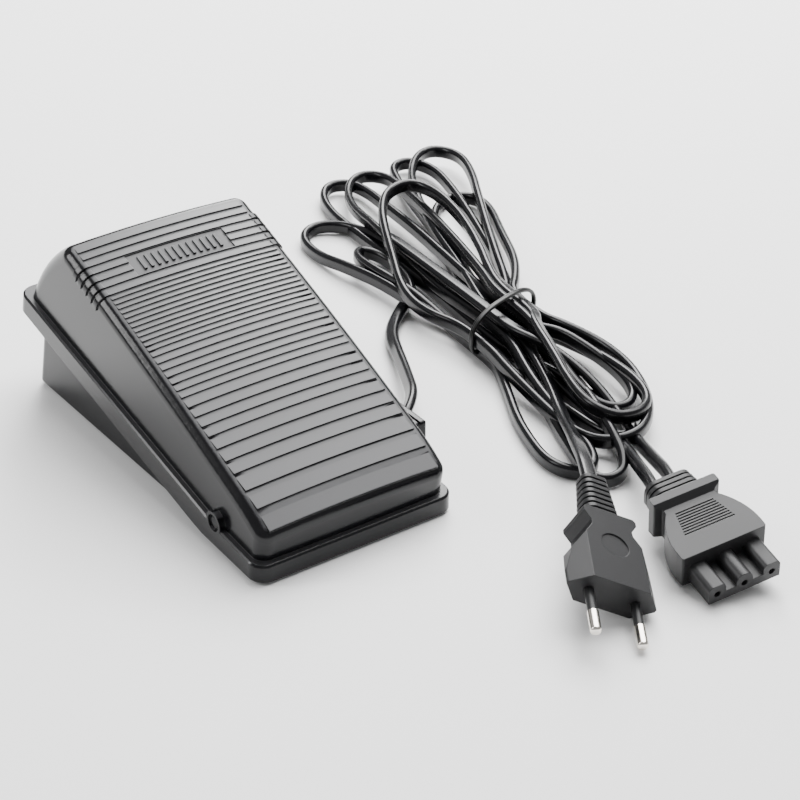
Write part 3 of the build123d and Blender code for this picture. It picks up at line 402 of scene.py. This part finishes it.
# Pedal gland, through the bundle, to the machine connector.
machine_route = (
    rolled(60, (53, -38.2, 9.8), (65, -30.5, 12), (77, -9, 8), (87, 11, 5.5))
    + [(94, 26, 4, 30), (103, 37.5, 2.6, 15), (115, 47.5, 2.4, 10), (127, 57, 3, 50)]
    + rolled(EDGE, (133, 74, 4), (132, 89, 5), (126, 96, 6), (119, 88, 7.5), (117.5, 70, 9),
             (120, 50, 8), (120.5, 30, 5))
    + neck(-16.5, 3.2, False)
    + rolled(EDGE, (113.5, -22, 3.2), (106, -37, 3.2), (97, -54, 3.2), (91, -70, 3.2), (87, -85, 3.2),
             (90, -96, 3.2), (99, -99, 3.2), (106, -88, 4), (110, -62, 6), (117, -36, 7.5))
    + neck(-6, 9.3, True)
    + rolled(EDGE, (131, 42, 8), (136, 66, 7), (140, 90, 6), (140, 112, 5), (134, 127, 4),
             (124, 132, 3.2), (114, 124, 3.2), (111, 106, 3.2), (113, 86, 6), (116, 62, 7),
             (117, 40, 6), (119, 24, 5))
    + neck(-11.6, 3.2, False)
    + rolled(EDGE, (117, -25, 3.5), (117, -55, 3.2), (117, -78, 3.2), (120, -88, 3.2), (129, -88, 3.2),
             (132, -76, 3.2), (132, -50, 3.2), (131, -28, 3.2))
    + neck(-6.7, 3.2, True)
    + rolled(EDGE, (134, 60, 4), (135, 92, 4), (137, 117, 4), (139, 137, 4), (145, 154, 4),
             (154, 162, 4.5), (163, 157, 5), (164, 144, 5.5), (161, 126, 6.5), (157, 98, 7.5),
             (150, 62, 8.6),
             (145, 32, 8.6))
    + neck(7.3, 9.3, False)
    + rolled(EDGE, (147, -18, 10), (149, -35, 8.5), (149, -53, 7), (144, -69, 6), (134, -76, 6),
             (126, -71, 6.5), (126, -58, 8), (129, -42, 11), (134, -22, 14))
    + neck(5, 15.4, True)
    + rolled(EDGE, (148, 35, 14), (158, 68, 13), (168, 103, 11), (175, 132, 9), (177, 149, 8),
             (169, 159, 7), (157, 151, 6.5), (147, 133, 7), (141, 110, 10))
    + rolled(5, (138, 85, 12), (134, 50, 13.5))
    + neck(-5, 14.3, False, 5)
    + rolled(60, (134, -30, 12), (134, -55, 9), (130, -76, 5.5))
    + rolled(EDGE, (124.1, -90.4, 5), (119.1, -102.4, 7.5), (112.4, -116.6, 11.5),
             (105.4, -131.2, 16), (99.7, -140.6, 17.5))
)
# Machine connector, through the bundle, to the mains plug.
mains_route = (
    rolled(EDGE, (92.6, -139.3, 16.4), (97.7, -130.3, 15), (104.8, -116.9, 11),
           (111.7, -104, 7.5), (117.2, -91, 4.5), (121, -74, 3.2), (125, -50, 3.2), (129, -25, 3.2))
    + neck(2.4, 3.2, True)
    + rolled(EDGE, (143, 40, 3.2), (158, 75, 3.2), (170, 100, 3.2), (182, 116, 3.2), (195, 121, 3.2),
             (203, 113, 4), (200, 97, 5), (187, 73, 7), (174, 46, 8.5), (162, 30, 9))
    + neck(17, 9.3, False)
    + rolled(EDGE, (151.5, -14, 10), (157, -32, 7.8), (157, -49, 6), (151, -65, 6), (142, -80, 7),
             (130, -92, 8), (118, -96, 8), (108, -88, 6), (107, -70, 5), (110, -45, 6.5),
             (113, -25, 8))
    + neck(-18.8, 9.3, True)
    + rolled(EDGE, (113, 24, 9.3), (113, 38, 9.5), (117, 52, 10.5), (126, 70, 13),
             (134, 87, 16), (143, 103, 18), (155, 116, 19), (169, 118, 19), (173, 103, 19), (169, 80, 18))
    + rolled(50, (160, 52, 16.5), (150.5, 33, 15.2))
    + neck(11, 15.0, False, 20)
    + rolled(40, (137, -14, 16), (128, -38, 16))
    + rolled(70, (119, -58, 15))
    + rolled(EDGE, (115, -74, 13.5), (119, -86, 12), (129, -88, 11), (140, -82, 10),
             (147, -67, 9.5), (150, -42, 8), (149, -18, 6))
    + neck(17, 3.2, True)
    + rolled(EDGE, (160, 30, 4), (174, 62, 5), (188, 97, 5.5), (198, 124, 5.5), (204, 147, 5.5),
             (200, 162, 5), (190, 162, 4.5), (183, 147, 4.5), (176, 125, 4.5), (165, 90, 4.5),
             (150, 50, 4))
    + neck(7.3, 3.2, False)
    + rolled(EDGE, (137, -25, 4.5), (130, -52, 7), (120, -76, 9.5), (114, -91, 9), (110, -102, 6),
             (104, -109, 4), (96, -108, 3.2), (94, -99, 3.2), (99, -86, 3.2), (108, -62, 3.2), (122, -32, 3.2))
    + neck(12.2, 3.2, True)
    + rolled(EDGE, (158, 30, 6), (173, 60, 8.5), (196, 101, 10), (211, 126, 9.5),
             (219.5, 147, 8.5), (214, 161, 8), (203, 159, 8), (190, 146, 8), (180, 130, 8.5))
    + rolled(30, (165, 95, 9), (150, 50, 9))
    + neck(0.5, 9.3, False, 30)
    + rolled(40, (129, -25, 7.5), (119, -48, 7.5), (108, -68, 8.5), (97, -87, 13.5))
    + rolled(10, (87, -103, 19.5), (76.5, -120, 23.5), (67.5, -134.7, 21.6))
)

machine_cord, machine_line, machine_length = flat_cord("machine_cord", machine_route)
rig.replaces(machine_cord, "pedal_lead", "connector_lead_a", "cord_hank")
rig.ride(machine_cord, "base")
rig.cord(machine_cord, exit=(0.0552, -0.0372, 0.0102), length=round(machine_length, 2),
        diameter=CORD_WIDE * MM, far_end="connector", stiffness="medium", lay="loose",
        path=machine_line,
        with_pieces=("connector_body", "connector_boot", "connector_contacts", "cord_gland"))

mains_cord, mains_line, mains_length = flat_cord("mains_cord", mains_route)
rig.replaces(mains_cord, "plug_lead", "connector_lead_b")
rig.ride(mains_cord, "base")
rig.cord(mains_cord, exit=(0.0926, -0.1393, 0.0164), length=round(mains_length, 2),
        diameter=CORD_WIDE * MM, far_end="plug", stiffness="medium", lay="loose",
        path=mains_line, with_pieces=("plug_body", "plug_boot", "plug_pins", "pin_sleeves"))


# ---------------------------------------------------------------- twist tie
TIE_TURNS = 2
TIE_HALF = 21.6
TIE_LOW = 0.8
TIE_HIGH = 20.2
TIE_DRIFT = 1.8
TIE_STEPS = 48
TIE_WIRE_R = 0.8


def wire(name, line, radius, look, sides=8):
    """Round wire along a closed or open list of points, in metres."""
    verts = []
    for i, point in enumerate(line):
        ahead = line[min(i + 1, len(line) - 1)] - line[max(i - 1, 0)]
        ahead.normalize()
        guide = Vector((0, 1, 0.2)) if abs(ahead.y) < 0.9 else Vector((1, 0, 0))
        side = ahead.cross(guide).normalized()
        up = side.cross(ahead)
        for k in range(sides):
            a = 2 * math.pi * k / sides
            verts.append(point + (side * math.cos(a) + up * math.sin(a)) * radius)
    faces = []
    for i in range(len(line) - 1):
        for k in range(sides):
            a = i * sides + k
            b = i * sides + (k + 1) % sides
            faces.append((a, b, b + sides, a + sides))
    faces.append(tuple(range(sides))[::-1])
    faces.append(tuple((len(line) - 1) * sides + k for k in range(sides)))
    mesh = bpy.data.meshes.new(name)
    mesh.from_pydata([tuple(v) for v in verts], [], faces)
    for polygon in mesh.polygons:
        polygon.use_smooth = len(polygon.vertices) == 4
    mesh.materials.append(look)
    made = bpy.data.objects.new(name, mesh)
    bpy.context.scene.collection.objects.link(made)
    return made


def tie_loop():
    """Path round the bundle, flat below and arched above, in metres."""
    line = []
    for i in range(TIE_TURNS * TIE_STEPS + 1):
        a = 2 * math.pi * i / TIE_STEPS - math.pi / 2
        c = math.cos(a)
        s = math.sin(a)
        u = TIE_HALF * math.copysign(abs(c) ** (0.8 if s > 0 else 0.55), c)
        rise = math.copysign(abs(s) ** (0.85 if s > 0 else 0.6), s)
        z = (TIE_HIGH + TIE_LOW) / 2 + (TIE_HIGH - TIE_LOW) / 2 * rise
        along = TIE_DRIFT * i / (TIE_TURNS * TIE_STEPS)
        line.append((TIE_CENTRE + TIE_ACROSS * u + BUNDLE_RUN * along + Vector((0, 0, z))) * MM)
    return line


tie = wire("twist_tie", tie_loop(), TIE_WIRE_R * MM, TIE)
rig.replaces(tie, "cord_tie")
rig.ride(tie, "base")

# ---------------------------------------------------------------- floor and light
floor_mesh = bpy.data.meshes.new("floor")
floor_mesh.from_pydata([(-30, -30, 0), (30, -30, 0), (30, 30, 0), (-30, 30, 0)], [], [(0, 1, 2, 3)])
floor_mesh.materials.append(material("floor", (0.92, 0.92, 0.92), 0.9, specular=0.1))
floor = bpy.data.objects.new("floor", floor_mesh)
bpy.context.scene.collection.objects.link(floor)


def panel(name, place, aim, size, power, size_y=None):
    """Soft rectangular light."""
    data = bpy.data.lights.new(name, "AREA")
    data.shape = "RECTANGLE"
    data.size = size
    data.size_y = size_y or size
    data.energy = power
    light = bpy.data.objects.new(name, data)
    light.location = place
    light.rotation_euler = (Vector(aim) - Vector(place)).to_track_quat("-Z", "Y").to_euler()
    bpy.context.scene.collection.objects.link(light)
    return light


lights = [
    panel("overhead", (0.6, 0.3, 1.16), (0.0, 0.0, 0.0), 1.3, 56.0),
    panel("left_strip", (-1.0, 0.62, 0.8), (-0.04, 0.0, 0.04), 0.2, 9.0, 0.9),
    panel("back_right", (0.86, 0.98, 0.8), (0.12, 0.0, 0.0), 0.6, 18.0, 0.6),
]
world = bpy.data.worlds.new("studio")
world.use_nodes = True
world.node_tree.nodes["Background"].inputs["Color"].default_value = (1.0, 1.0, 1.0, 1.0)
world.node_tree.nodes["Background"].inputs["Strength"].default_value = 0.42
bpy.context.scene.world = world
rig.stage(floor, *lights)

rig.finish()
with open("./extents.json", "w") as out:
    ends = [[list(corner) for corner in b] for b in (bounds_start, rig.bounds())]
    json.dump({"start": ends[0], "end": ends[1]}, out)
